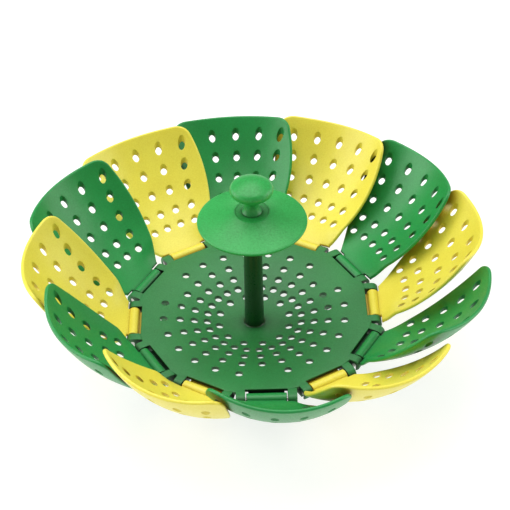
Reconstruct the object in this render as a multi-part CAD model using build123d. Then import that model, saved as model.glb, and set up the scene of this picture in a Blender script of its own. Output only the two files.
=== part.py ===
from build123d import *
from build123d.topology import SkipClean
import math
import os

# Folding steamer basket: twelve perforated petals hinged round a dished, perforated plate
# on three legs, with a central post that carries a guard disc and a knob.
# The petals stand open at rest. +Z is up and the origin is on the floor under the post.
# Lengths are in millimetres and angles in degrees.

# Whole basket
petal_count = 12
back_angle = 90.0
plate_height = 22.0

# Plate
plate_thickness = 2.0
plate_radius = 59.5
notch_wall = 57.0
dish_depth = 7.0
dish_angle = 13.3
rim_bend_radius = 105.0
floor_bend_radius = 39.0

# Drain holes in the plate: each ring's radius is a share of the notch wall's distance
drain_hole_diameter = 3.9
inner_ring_share = 0.318
outer_ring_shares = (0.420, 0.535, 0.661, 0.807)
holes_per_petal = 2

# Legs, one flat strip under every fourth petal, square to that petal's hinge
leg_count = 3
leg_reach = 46.7
leg_shift = 6.2
leg_width = 12.6
leg_thickness = 4.5
leg_corner_radius = 3.0

# Boss under the plate for the post
boss_radius = 8.0
boss_height = 7.0

# Hinges
hinge_shift = 4.7
notch_width = 20.4
barrel_diameter = 6.0
barrel_gap = 1.0
barrel_end_gap = 1.1
barrel_end_round = 0.4
lug_width = 4.5
lug_reach = 5.0
lug_slope = 4.0
pin_diameter = 2.0
pin_running_gap = 0.05
pin_seat_gap = 0.02
pin_end_gap = 0.3
pin_slot_share = 0.85
heel_width = 10.0
heel_length = 5.5
heel_thickness = 1.5
heel_gap = 0.3
fold_angle = 75.0
root_gap = 0.4

# Petal shell: a strip of a ring-shaped surface, hollow side up, leaned about its chord
petal_thickness = 1.8
petal_length = 71.3
petal_bend_radius = 92.6
petal_cup_radius = 50.8
petal_start_angle = 18.0
petal_lean_angle = 5.6
petal_line_shift = 7.9
shell_rise = 0.8

# How far each petal is lifted from the even open place, clockwise from the back
petal_rest_angles = (-2.4, -2.2, 0.0, 2.1, -0.9, -1.7, 0.5, 2.7, 4.9, 4.8, 3.0, -1.8)

# Petal outline, seen square to its chord: places along it as shares of the chord
# and places across it as shares of half the petal's width, which laps over its share of the ring
petal_lap = 2.8
petal_corner_radius = 9.0
petal_rim_round = 0.6
root_share = 0.03
counter_clockwise_edge_shares = ((root_share, 0.30), (0.43, 0.84), (0.918, 1.035))
clockwise_edge_shares = ((root_share, -0.50), (0.49, -0.93), (0.925, -0.92))

# Steam holes in a petal: rows as shares of its length, columns fanned from behind the hinge
petal_hole_diameter = 3.8
hole_row_shares = (0.251, 0.372, 0.529, 0.691, 0.857)
hole_columns = (-2, -1, 0, 1, 2)
hole_pitch = 10.4
hole_pitch_place = 40.0
fan_reach = 45.0
row_arc_radius = 34.0
row_arc_growth_share = 2.2

# Post
post_base_radius = 4.9
post_top_radius = 4.4
spigot_radius = 3.5
spigot_gap = 0.05
spigot_end_gap = 0.5
screw_end_gap = 1.0

# Screw under the post
screw_radius = 1.9
screw_gap = 0.05
screw_length = 13.0
screw_head_radius = 5.0
screw_head_height = 2.5
driver_slot_width = 1.2
driver_slot_depth = 1.2

# Guard disc
disc_height = 63.3
disc_radius = 26.7
disc_drop = 5.3
disc_thickness = 1.6
disc_sag = 0.8
disc_edge_round = 0.5
recess_radius = 8.3
recess_depth = 0.3

# Knob
knob_radius = 10.4
knob_half_height = 4.9
knob_rim_radius = 3.0
knob_rise = 13.1
collar_radius = 5.1
neck_radius = 3.5
neck_top_radius = 4.6
stem_radius = 2.5
stem_gap = 0.05
stem_length = 14.0
stem_end_gap = 1.0

# Spare length by which a cutter runs past what it cuts
overrun = 2.0

pitch_angle = 360 / petal_count
middle_angle = math.degrees(math.atan2(hinge_shift, notch_wall))
barrel_radius = barrel_diameter / 2
pin_radius = pin_diameter / 2
axis_reach = notch_wall + barrel_gap + barrel_radius
axis_height = plate_height - barrel_radius
barrel_length = notch_width - 2 * barrel_end_gap
dish_floor = plate_height - dish_depth
petal_sweep_angle = math.degrees(petal_length / petal_bend_radius)
chord_angle = petal_start_angle + petal_sweep_angle / 2
chord_length = 2 * petal_bend_radius * math.sin(math.radians(petal_sweep_angle / 2))
tip_reach = axis_reach + chord_length * math.cos(math.radians(chord_angle))
petal_width = 2 * tip_reach * math.tan(math.radians(pitch_angle / 2)) + petal_lap


def dish_line(start, bend_radii):
    """Half of the dish's section, from the rim in to the middle."""
    rim_radius, floor_radius = bend_radii
    rim_bend = JernArc(start, (-1, 0), rim_radius, dish_angle)
    floor_drop = floor_bend_radius * (1 - math.cos(math.radians(dish_angle)))
    rim_drop = rim_bend_radius * (1 - math.cos(math.radians(dish_angle)))
    slope_length = (dish_depth - floor_drop - rim_drop) / math.sin(math.radians(dish_angle))
    slope = Line(rim_bend @ 1, rim_bend @ 1 + (rim_bend % 1) * slope_length)
    floor_bend = JernArc(slope @ 1, slope % 1, floor_radius, -dish_angle)
    return [rim_bend, slope, floor_bend, Line(floor_bend @ 1, (0, (floor_bend @ 1).Y))]


def plate_disc():
    """The dished round plate, before its notches, lugs and holes."""
    top_rim = Vector(notch_wall, plate_height)
    under_rim = Vector(notch_wall, plate_height - plate_thickness)
    top = dish_line(top_rim, (rim_bend_radius, floor_bend_radius))
    under = dish_line(under_rim, (rim_bend_radius - plate_thickness, floor_bend_radius + plate_thickness))
    edge = Polyline(top_rim, (plate_radius, plate_height),
                    (plate_radius, plate_height - plate_thickness), under_rim)
    middle = Line(top[-1] @ 1, under[-1] @ 1)
    section = make_face(Plane.XZ * (Curve() + top + under + [edge, middle]))
    return revolve(section, Axis.Z)


def turned(shape, angle):
    return shape.rotate(Axis.Z, angle)


def round_the_plate(shape):
    """A copy of a piece that lies towards +X at each hinge."""
    return [turned(shape, back_angle + pitch_angle * place) for place in range(petal_count)]


def lug(side):
    """One ear of a hinge, on the far side of the notch from the barrel's end."""
    floor = plate_height - barrel_diameter
    inner = Polyline((notch_wall, plate_height), (axis_reach, plate_height), (axis_reach, floor),
                     (notch_wall - lug_reach + lug_slope, floor),
                     (notch_wall - lug_reach, plate_height - 3 * plate_thickness / 4), close=True)
    section = make_face(Plane.XZ * inner) + Plane.XZ * Pos(axis_reach, axis_height) * Circle(barrel_radius)
    middle = hinge_shift + side * (notch_width + lug_width) / 2
    ear = Pos(0, middle, 0) * extrude(section, lug_width / 2, both=True)
    bore = hinge_rod(pin_radius + pin_seat_gap, notch_width + 2 * lug_width + 2 * overrun)
    slot_depth = barrel_radius + overrun
    slot = Pos(axis_reach, middle, axis_height - slot_depth / 2) * Box(
        pin_slot_share * pin_diameter, lug_width + overrun, slot_depth)
    return ear - bore - slot


def hinge_rod(radius, length):
    """A round bar on the hinge's axis, centred on the hinge."""
    return Pos(axis_reach, hinge_shift, axis_height) * Rot(90, 0, 0) * Cylinder(radius, length)


def notch():
    depth = plate_radius - notch_wall + overrun
    return Pos(notch_wall + depth / 2, hinge_shift, plate_height) * Box(
        depth, notch_width, 2 * plate_thickness + overrun)


def drain_holes():
    """Rings of round holes, left out where a leg stands below."""
    height = plate_height + overrun
    drill = Pos(0, 0, height / 2) * Cylinder(drain_hole_diameter / 2, height)
    holes = []
    for place in range(petal_count):
        angle = back_angle + middle_angle + pitch_angle * (place + 1 / (2 * holes_per_petal))
        holes.append(turned(Pos(inner_ring_share * notch_wall, 0, 0) * drill, angle))
    for ring, share in enumerate(outer_ring_shares):
        for place in range(petal_count * holes_per_petal):
            angle = back_angle + middle_angle + pitch_angle * place / holes_per_petal
            over_leg = ring == len(outer_ring_shares) - 1 and (
                place % (petal_count * holes_per_petal // leg_count) == 2 * holes_per_petal)
            if not over_leg:
                holes.append(turned(Pos(share * notch_wall, 0, 0) * drill, angle))
    return holes


def leg(place):
    """A flat strip from inside the plate down to the floor."""
    top = plate_height - 3 * plate_thickness / 4
    strip = Pos(leg_reach, leg_shift, top / 2) * Box(leg_thickness, leg_width, top)
    floor_corners = strip.edges().group_by(Axis.Z)[0].filter_by(Axis.X)
    strip = fillet(floor_corners, leg_corner_radius)
    return turned(strip, back_angle + pitch_angle * (2 + place * petal_count / leg_count))


def base_plate():
    plate = plate_disc()
    plate -= round_the_plate(notch())
    plate -= drain_holes()
    plate += [ear for side in (-1, 1) for ear in round_the_plate(lug(side))]
    plate += [leg(place) for place in range(leg_count)]
    boss_top = dish_floor - plate_thickness / 2
    boss_floor = dish_floor - plate_thickness - boss_height
    plate += Pos(0, 0, (boss_top + boss_floor) / 2) * Cylinder(boss_radius, boss_top - boss_floor)
    return plate - Pos(0, 0, dish_floor) * Cylinder(spigot_radius + spigot_gap, 2 * plate_height)


def hinge_pin():
    return hinge_rod(pin_radius, notch_width + 2 * lug_width - 2 * pin_end_gap)


def petal_plane():
    """The plane of the petal's chord, at its start over the hinge: X runs out along the chord."""
    chord = Vector(math.cos(math.radians(chord_angle)), 0, math.sin(math.radians(chord_angle)))
    start = (axis_reach, petal_line_shift, axis_height + shell_rise)
    return Plane(origin=start, x_dir=chord, z_dir=chord.rotate(Axis.Y, -90))


def bend_centre():
    start = math.radians(petal_start_angle)
    return Vector(axis_reach - petal_bend_radius * math.sin(start), petal_line_shift,
                  axis_height + shell_rise + petal_bend_radius * math.cos(start))


def bent_sheet():
    """The double-curved sheet that the petal is cut from."""
    half_angle = math.degrees(petal_width / 2 / petal_cup_radius) + dish_angle / 2
    cup_centre = petal_bend_radius - petal_cup_radius
    spare_angle = math.degrees(overrun / petal_bend_radius)
    start = math.radians(petal_start_angle - spare_angle)
    outward = Vector(math.sin(start), 0, -math.cos(start))
    section_plane = Plane(origin=bend_centre(), x_dir=(0, 1, 0), z_dir=Vector(0, 1, 0).cross(outward))
    inner = CenterArc((0, cup_centre), petal_cup_radius, 90 - half_angle, 2 * half_angle)
    outer = CenterArc((0, cup_centre), petal_cup_radius + petal_thickness, 90 - half_angle, 2 * half_angle)
    section = make_face(section_plane * (Curve() + [
        inner, outer, Line(inner @ 0, outer @ 0), Line(inner @ 1, outer @ 1)]))
    return revolve(section, Axis(bend_centre(), (0, -1, 0)), petal_sweep_angle + 2 * spare_angle)


def edge_points(shares):
    return [(along * chord_length, across * petal_width / 2) for along, across in shares]


def petal_outline():
    """Bowed side edges, a round-cornered tip and a straight root with the hinge's tongue."""
    left = ThreePointArc(*edge_points(counter_clockwise_edge_shares))
    right = ThreePointArc(*edge_points(clockwise_edge_shares))
    tip = ThreePointArc(left @ 1, (chord_length, 0), right @ 1)
    blade = make_face(Curve() + [left, tip, right, Line(right @ 0, left @ 0)])
    tip_corners = blade.vertices().sort_by(Axis.X)[-2:]
    blade = fillet(tip_corners, petal_corner_radius)
    tongue_end = root_share * chord_length + overrun
    tongue = Pos(tongue_end / 2, hinge_shift - petal_line_shift) * Rectangle(tongue_end, barrel_length)
    return blade + tongue


def steam_holes():
    """Upright drills through the leaned sheet, on fanned columns and bowed rows."""
    drills = []
    drill = Cylinder(petal_hole_diameter / 2, 2 * (petal_thickness + petal_hole_diameter + overrun))
    lean_axis = Axis(petal_plane().origin, petal_plane().x_dir)
    for share in hole_row_shares:
        row = share * petal_length
        pitch = hole_pitch * (row + fan_reach) / (hole_pitch_place + fan_reach)
        bow_radius = row_arc_radius + row_arc_growth_share * row
        for column in hole_columns:
            across = column * pitch
            along = row - across ** 2 / (2 * bow_radius)
            place = Vertex(*sheet_point(along, across)).rotate(lean_axis, -petal_lean_angle)
            drills.append(Pos(*place) * drill)
    return drills


def sheet_point(along, across):
    """A place on the sheet's hollow face, before it is leaned."""
    bend = math.radians(petal_start_angle) + along / petal_bend_radius
    swing = across / petal_cup_radius
    outward = Vector(math.sin(bend), 0, -math.cos(bend))
    cup_centre = bend_centre() + outward * (petal_bend_radius - petal_cup_radius)
    normal = outward * math.cos(swing) + Vector(0, math.sin(swing), 0)
    return cup_centre + normal * petal_cup_radius


def lifted(shape, angle):
    """A petal's piece swung up about its hinge."""
    return shape.rotate(Axis((axis_reach, hinge_shift, axis_height), (0, -1, 0)), angle)


def petal_heel():
    """The stop that meets the plate's underside where the lowest petal stands."""
    top = plate_height - plate_thickness - heel_gap
    heel = Pos(axis_reach - heel_length / 2, hinge_shift, top - heel_thickness / 2) * Box(
        heel_length, heel_width, heel_thickness)
    return lifted(heel, -min(petal_rest_angles))


def root_cutters():
    """What the root leaves free beside its barrel, so that the folded petal clears the plate."""
    block = Box(2 * petal_width, petal_width, 2 * petal_width)
    cutters = []
    for side in (-1, 1):
        middle = hinge_shift + side * (barrel_length + petal_width) / 2
        folded = Pos(axis_reach, middle, plate_height + root_gap - petal_width) * block
        cutters.append(lifted(folded, -fold_angle))
    return cutters


def petal():
    plane = petal_plane()
    blank = extrude(plane * petal_outline(), chord_length, both=True)
    shell = bent_sheet() & blank
    shell = shell.rotate(Axis(plane.origin, plane.x_dir), -petal_lean_angle)
    shell -= root_cutters()
    rim = [edge for edge in shell.edges()
           if edge.length > petal_corner_radius and edge.center().X > axis_reach + lug_reach]
    barrel = hinge_rod(barrel_radius, barrel_length)
    barrel = fillet(barrel.edges().filter_by(GeomType.CIRCLE), barrel_end_round)
    bore = hinge_rod(pin_radius + pin_running_gap, barrel_length + 2 * overrun)
    whole = fillet(rim, petal_rim_round) + barrel + petal_heel()
    with SkipClean():
        return whole - [bore, *steam_holes()]


def post():
    """Tapered post with a spigot through the boss, a screw bore below and a stem bore above."""
    top = plate_height + disc_height - disc_thickness
    spigot_end = dish_floor - plate_thickness - boss_height + spigot_end_gap
    section = Polyline((0, spigot_end), (spigot_radius, spigot_end), (spigot_radius, dish_floor),
                       (post_base_radius, dish_floor), (post_top_radius, top), (0, top), close=True)
    body = revolve(make_face(Plane.XZ * section), Axis.Z)
    stem_bore_depth = stem_length - disc_thickness + stem_end_gap
    body -= Pos(0, 0, top) * Cylinder(stem_radius + stem_gap, 2 * stem_bore_depth)
    screw_bore_depth = screw_length - spigot_end_gap + screw_end_gap
    return body - Pos(0, 0, spigot_end) * Cylinder(screw_radius + screw_gap, 2 * screw_bore_depth)


def post_screw():
    seat = dish_floor - plate_thickness - boss_height
    head = Pos(0, 0, seat - screw_head_height / 2) * Cylinder(screw_head_radius, screw_head_height)
    shank = Pos(0, 0, seat + screw_length / 2) * Cylinder(screw_radius, screw_length)
    slot = Pos(0, 0, seat - screw_head_height) * Box(
        2 * screw_head_radius + overrun, driver_slot_width, 2 * driver_slot_depth)
    return head + shank - slot


def guard_disc():
    """A flared disc with a shallow recess round the knob's collar."""
    crown = plate_height + disc_height + recess_depth
    rim = crown - disc_drop
    sag_point = ((disc_radius + recess_radius) / 2, (crown + rim) / 2 - disc_sag)
    lower_sag_point = (sag_point[0], sag_point[1] - disc_thickness)
    flare = ThreePointArc((recess_radius, crown), sag_point, (disc_radius, rim))
    under = ThreePointArc((disc_radius, rim - disc_thickness), lower_sag_point,
                          (recess_radius, crown - disc_thickness - recess_depth))
    floor = plate_height + disc_height
    hole = stem_radius + stem_gap
    inner = Polyline(under @ 1, (hole, floor - disc_thickness), (hole, floor), (recess_radius, floor), flare @ 0)
    section = make_face(Plane.XZ * (Curve() + [flare, Line(flare @ 1, under @ 0), under, inner]))
    section = fillet(section.vertices().sort_by(Axis.X)[-2:], disc_edge_round)
    return revolve(section, Axis.Z)


def knob():
    """A flattened ball on a waisted neck, with a stem that is pressed into the post."""
    seat = plate_height + disc_height
    crown_radius = ((knob_radius - knob_rim_radius) ** 2 + knob_half_height ** 2 - knob_rim_radius ** 2) / (
        2 * (knob_half_height - knob_rim_radius))
    crown_angle = math.degrees(math.asin((knob_radius - knob_rim_radius) / (crown_radius - knob_rim_radius)))
    neck_top_angle = math.degrees(math.asin(neck_top_radius / crown_radius))
    crown = JernArc((0, seat + knob_rise + knob_half_height), (1, 0), crown_radius, -crown_angle)
    rim = JernArc(crown @ 1, crown % 1, knob_rim_radius, 2 * crown_angle - 180)
    under = JernArc(rim @ 1, rim % 1, crown_radius, neck_top_angle - crown_angle)
    neck_middle = (neck_radius, (seat + (under @ 1).Y) / 2)
    waist = ThreePointArc(under @ 1, neck_middle, (collar_radius, seat))
    sides = Polyline(waist @ 1, (stem_radius, seat), (stem_radius, seat - stem_length),
                     (0, seat - stem_length), crown @ 0)
    return revolve(make_face(Plane.XZ * (Curve() + [crown, rim, under, waist, sides])), Axis.Z)


def write(shape, name):
    export_step(shape, os.path.join("parts", name + ".step"))


def main():
    os.makedirs("parts", exist_ok=True)
    write(base_plate(), "base_plate")
    write(post(), "post")
    write(post_screw(), "post_screw")
    write(guard_disc(), "guard_disc")
    write(knob(), "knob")
    one_petal, one_pin = petal(), hinge_pin()
    for place in range(petal_count):
        angle = back_angle - pitch_angle * place
        rest_angle = petal_rest_angles[place % len(petal_rest_angles)]
        write(turned(lifted(one_petal, rest_angle), angle), f"petal_{place + 1:02d}")
        write(turned(one_pin, angle), f"hinge_pin_{place + 1:02d}")


main()
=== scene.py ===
"""Looks of a folding steamer basket of moulded plastic.

Twelve perforated petals stand hinged round a dished, perforated plate on three legs. A post in the
middle carries a guard disc and a knob. Sizes are in millimetres, and meshes are written in metres
in the row frame.
"""

import logging
import math
from collections.abc import Callable, Iterable, Sequence
from dataclasses import dataclass, field
from enum import Enum

import bmesh
import bpy
import numpy as np
from mathutils import Matrix, Vector
from mathutils.geometry import delaunay_2d_cdt


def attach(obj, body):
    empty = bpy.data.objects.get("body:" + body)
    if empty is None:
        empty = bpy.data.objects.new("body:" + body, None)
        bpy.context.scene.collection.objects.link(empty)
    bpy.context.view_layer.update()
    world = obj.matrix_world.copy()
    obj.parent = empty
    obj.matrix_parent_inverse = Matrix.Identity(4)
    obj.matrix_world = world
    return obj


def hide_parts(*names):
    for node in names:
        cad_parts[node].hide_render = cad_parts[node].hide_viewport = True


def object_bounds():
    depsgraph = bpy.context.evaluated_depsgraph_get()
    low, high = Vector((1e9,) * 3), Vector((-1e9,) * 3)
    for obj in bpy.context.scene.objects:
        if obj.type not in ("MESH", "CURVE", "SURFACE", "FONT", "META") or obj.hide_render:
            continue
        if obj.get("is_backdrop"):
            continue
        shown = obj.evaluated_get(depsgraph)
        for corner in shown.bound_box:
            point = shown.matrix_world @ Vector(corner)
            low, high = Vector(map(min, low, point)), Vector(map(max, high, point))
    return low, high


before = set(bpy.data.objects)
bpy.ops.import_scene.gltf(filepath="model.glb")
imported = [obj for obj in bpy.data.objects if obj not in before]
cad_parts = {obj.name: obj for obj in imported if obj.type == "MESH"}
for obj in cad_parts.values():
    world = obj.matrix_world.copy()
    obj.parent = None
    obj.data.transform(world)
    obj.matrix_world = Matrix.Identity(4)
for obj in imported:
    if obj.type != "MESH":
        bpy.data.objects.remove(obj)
log = logging.getLogger("steamer_basket")

MM = 0.001
TINY = 1e-6
WHITE = (1.0, 1.0, 1.0, 1.0)
# How far each petal is lifted from the even open place, clockwise from the back, in degrees
REST_ANGLES = (-2.4, -2.2, 0.0, 2.1, -0.9, -1.7, 0.5, 2.7, 4.9, 4.8, 3.0, -1.8)
PETAL_COUNT = len(REST_ANGLES)
PITCH_ANGLE = 360.0 / PETAL_COUNT
BACK_ANGLE = 90.0
# The factor, both colours and the result of a Mix node set to colours, by socket number
MIX_FACTOR, MIX_FIRST, MIX_SECOND, MIX_RESULT = 0, 6, 7, 2
# Above 50, large faces set the smooth shading more than small ones.
LARGE_FACE_WEIGHT = 80

Flat = tuple[float, float]
Circle = tuple[Vector, float]
Place = Callable[[float, float, float], Vector]
Materials = dict[str, bpy.types.Material]


class Tint(Enum):
    """The plastic colours of the basket, by the record's material slots. The plate, post and handle greens
    are one plastic, drawn lighter or darker as painted light and shade.
    """

    PLATE_GREEN = "plate_green"
    SHADED_POST_GREEN = "post_green"
    LIT_HANDLE_GREEN = "handle_green"
    PETAL_GREEN = "petal_green"
    PETAL_YELLOW = "petal_yellow"


def linear(colour: str) -> tuple[float, float, float, float]:
    """Turns an sRGB hex colour into linear light.

    Args:
        colour: The colour as "#rrggbb".

    Returns:
        Red, green, blue and full alpha.
    """
    shares = [int(colour[at : at + 2], 16) / 255 for at in (1, 3, 5)]
    red, green, blue = (s / 12.92 if s <= 0.04045 else ((s + 0.055) / 1.055) ** 2.4 for s in shares)
    return red, green, blue, 1.0


def add_node(
    tree: bpy.types.NodeTree,
    kind: str,
    settings: dict[str | int, object] | None = None,
    links: dict[str | int, bpy.types.NodeSocket] | None = None,
) -> bpy.types.Node:
    """Adds one node with its settings and links.

    Args:
        tree: The node tree of a material or world.
        kind: The node's type.
        settings: Values by attribute name or by input name or number.
        links: Output sockets by the input name or number that they go to.

    Returns:
        The new node.
    """
    node = tree.nodes.new(kind)
    for key, value in (settings or {}).items():
        if isinstance(key, int) or key in node.inputs:
            node.inputs[key].default_value = value
        else:
            setattr(node, key, value)
    for key, socket in (links or {}).items():
        tree.links.new(socket, node.inputs[key])
    return node


def blank_material(name: str) -> tuple[bpy.types.Material, bpy.types.NodeTree]:
    """Makes a material with an empty node tree.

    Args:
        name: The material's name.

    Returns:
        The material and its node tree.
    """
    material = bpy.data.materials.new(name)
    material.use_nodes = True
    material.node_tree.nodes.clear()
    return material, material.node_tree


@dataclass(frozen=True)
class MouldedPolypropylene:
    """Polypropylene, injection moulded in a spark-eroded mould.

    The eroded steel leaves a fine matt grain that spreads each highlight into a soft glow, and the
    milky resin lets a little light bleed through thin walls.

    Attributes:
        tint: Which colour of plastic this is.
        colour: The resin's colour.
        flow_colour: The slightly different tone where the melt cooled first.
        roughness: How far the grain spreads a highlight.
        roughness_spread: How much that changes between the grain's tops and pits.
        bleed: Share of light that travels inside the wall.
        bleed_mm: How far it travels.
        bleed_by_colour: That distance's share for red, green and blue.
        flow_mm: Size of the clouds that the flowing melt leaves.
        grain_mm: Distance between the grain's tops.
        grain_depth_mm: Height of the grain.
        grain_strength: How strongly it tilts the surface.
        grain_sharpness: How much the finer patterns on the first one count.
        noise_detail: How many of those there are.
        grain_range: Values of the grain between which the roughness changes.
        speckle_range: Values of flow and grain together between which the colour changes.
        painted_shade_colour: Painted shade: the dark tone painted inside holes and gaps.
        painted_shade_reach_mm: How near a wall has to be for the painted shade to fall.
        painted_shade_samples: Rays that look for such walls.
        painted_shade_range: Share of open sky between which the painted shade fades out.
    """

    tint: Tint
    colour: str
    flow_colour: str
    roughness: float = 0.42
    roughness_spread: float = 0.06
    bleed: float = 0.15
    bleed_mm: float = 1.8
    bleed_by_colour: tuple[float, float, float] = (1.0, 1.0, 0.6)
    ior: float = 1.49
    flow_mm: float = 32.0
    # Real eroded grain is about 0.1 mm across; it is drawn coarser so that it shows.
    grain_mm: float = 0.7
    grain_depth_mm: float = 0.02
    grain_strength: float = 0.8
    grain_sharpness: float = 0.6
    noise_detail: float = 2.0
    grain_range: tuple[float, float] = (0.3, 0.7)
    speckle_range: tuple[float, float] = (0.75, 1.25)
    # Painted shade: narrow places, such as the holes and the gaps at the hinges, are drawn in a darker tone.
    painted_shade_colour: str = "#031508"
    painted_shade_reach_mm: float = 6.0
    painted_shade_samples: int = 6
    painted_shade_range: tuple[float, float] = (0.42, 0.88)

    def build(self) -> bpy.types.Material:
        """Builds the material.

        Returns:
            The material, named for the plastic and its tint.
        """
        material, tree = blank_material(f"polypropylene_{self.tint.value}")
        spot = add_node(tree, "ShaderNodeTexCoord").outputs["Object"]
        flow = add_node(
            tree,
            "ShaderNodeTexNoise",
            {"Scale": 1 / (self.flow_mm * MM), "Detail": self.noise_detail},
            {"Vector": spot},
        )
        grain = add_node(
            tree,
            "ShaderNodeTexNoise",
            {
                "Scale": 1 / (self.grain_mm * MM),
                "Detail": self.noise_detail,
                "Roughness": self.grain_sharpness,
            },
            {"Vector": spot},
        )
        speckle = add_node(
            tree, "ShaderNodeMath", {"operation": "ADD"}, {0: flow.outputs["Fac"], 1: grain.outputs["Fac"]}
        )
        drift = add_node(
            tree,
            "ShaderNodeMapRange",
            {"From Min": self.speckle_range[0], "From Max": self.speckle_range[1]},
            {"Value": speckle.outputs["Value"]},
        )
        tone = add_node(
            tree,
            "ShaderNodeMix",
            {"data_type": "RGBA", MIX_FIRST: linear(self.colour), MIX_SECOND: linear(self.flow_colour)},
            {MIX_FACTOR: drift.outputs["Result"]},
        )
        # Painted shade: an occlusion probe darkens the colour where walls are near.
        shade_probe = add_node(
            tree,
            "ShaderNodeAmbientOcclusion",
            {"samples": self.painted_shade_samples, "Distance": self.painted_shade_reach_mm * MM},
        )
        shade = add_node(
            tree,
            "ShaderNodeMapRange",
            {"From Min": self.painted_shade_range[0], "From Max": self.painted_shade_range[1]},
            {"Value": shade_probe.outputs["AO"]},
        )
        shaded = add_node(
            tree,
            "ShaderNodeMix",
            {"data_type": "RGBA", MIX_FIRST: linear(self.painted_shade_colour)},
            {MIX_FACTOR: shade.outputs["Result"], MIX_SECOND: tone.outputs[MIX_RESULT]},
        )
        sheen = add_node(
            tree,
            "ShaderNodeMapRange",
            {
                "From Min": self.grain_range[0],
                "From Max": self.grain_range[1],
                "To Min": self.roughness - self.roughness_spread,
                "To Max": self.roughness + self.roughness_spread,
            },
            {"Value": grain.outputs["Fac"]},
        )
        bump = add_node(
            tree,
            "ShaderNodeBump",
            {"Distance": self.grain_depth_mm * MM, "Strength": self.grain_strength},
            {"Height": grain.outputs["Fac"]},
        )
        plastic = add_node(
            tree,
            "ShaderNodeBsdfPrincipled",
            {
                "IOR": self.ior,
                "Subsurface Weight": self.bleed,
                "Subsurface Radius": self.bleed_by_colour,
                "Subsurface Scale": self.bleed_mm * MM,
            },
            {
                "Base Color": shaded.outputs[MIX_RESULT],
                "Roughness": sheen.outputs["Result"],
                "Normal": bump.outputs["Normal"],
            },
        )
        add_node(tree, "ShaderNodeOutputMaterial", None, {"Surface": plastic.outputs["BSDF"]})
        return material


@dataclass(frozen=True)
class DrawnStainlessSteel:
    """Stainless steel wire and screws, drawn and then tumbled.

    Drawing leaves fine lines along the wire, and tumbling dulls them to a soft gleam.

    Attributes:
        colour: The steel's colour.
        roughness: How dull the tumbled steel is.
        shinier: How far the roughness falls between the lines.
        duller: How far it rises on their crests.
        line_mm: Distance between the lines.
        line_depth_mm: Height of the lines.
        line_strength: How strongly they tilt the surface.
        noise_detail: How many finer patterns lie on the first.
    """

    colour: str = "#c9c8c4"
    roughness: float = 0.3
    shinier: float = 0.08
    duller: float = 0.12
    # Real lines are much finer; they are drawn as a coarser mottle so that they show.
    line_mm: float = 0.25
    line_depth_mm: float = 0.01
    line_strength: float = 0.5
    noise_detail: float = 3.0

    def build(self) -> bpy.types.Material:
        """Builds the material.

        Returns:
            The material.
        """
        material, tree = blank_material("drawn_stainless_steel")
        spot = add_node(tree, "ShaderNodeTexCoord").outputs["Object"]
        lines = add_node(
            tree,
            "ShaderNodeTexNoise",
            {"Scale": 1 / (self.line_mm * MM), "Detail": self.noise_detail},
            {"Vector": spot},
        )
        dull = add_node(
            tree,
            "ShaderNodeMapRange",
            {"To Min": self.roughness - self.shinier, "To Max": self.roughness + self.duller},
            {"Value": lines.outputs["Fac"]},
        )
        bump = add_node(
            tree,
            "ShaderNodeBump",
            {"Distance": self.line_depth_mm * MM, "Strength": self.line_strength},
            {"Height": lines.outputs["Fac"]},
        )
        steel = add_node(
            tree,
            "ShaderNodeBsdfPrincipled",
            {"Base Color": linear(self.colour), "Metallic": 1.0},
            {"Roughness": dull.outputs["Result"], "Normal": bump.outputs["Normal"]},
        )
        add_node(tree, "ShaderNodeOutputMaterial", None, {"Surface": steel.outputs["BSDF"]})
        return material


@dataclass(frozen=True)
class StudioPaper:
    """Plain pale paper for the floor, matt and faintly mottled.

    Attributes:
        colour: The paper's colour where it is lightest.
        mottle_colour: Its colour where it is darkest.
        mottle_mm: Size of the mottled patches.
        glow: Light from below the paper, which keeps it white under the basket.
        roughness: How far the paper spreads a highlight.
        gloss: How strong its highlight is.
    """

    colour: str = "#a4a4a4"
    mottle_colour: str = "#a0a0a0"
    mottle_mm: float = 60.0
    glow: float = 0.76
    roughness: float = 0.9
    gloss: float = 0.2

    def build(self) -> bpy.types.Material:
        """Builds the material.

        Returns:
            The material.
        """
        material, tree = blank_material("studio_paper")
        spot = add_node(tree, "ShaderNodeTexCoord").outputs["Object"]
        mottle = add_node(
            tree, "ShaderNodeTexNoise", {"Scale": 1 / (self.mottle_mm * MM)}, {"Vector": spot}
        )
        tone = add_node(
            tree,
            "ShaderNodeMix",
            {"data_type": "RGBA", MIX_FIRST: linear(self.colour), MIX_SECOND: linear(self.mottle_colour)},
            {MIX_FACTOR: mottle.outputs["Fac"]},
        )
        paper = add_node(
            tree,
            "ShaderNodeBsdfPrincipled",
            {
                "Roughness": self.roughness,
                "Specular IOR Level": self.gloss,
                "Emission Color": WHITE,
                "Emission Strength": self.glow,
            },
            {"Base Color": tone.outputs[MIX_RESULT]},
        )
        add_node(tree, "ShaderNodeOutputMaterial", None, {"Surface": paper.outputs["BSDF"]})
        return material


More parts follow.
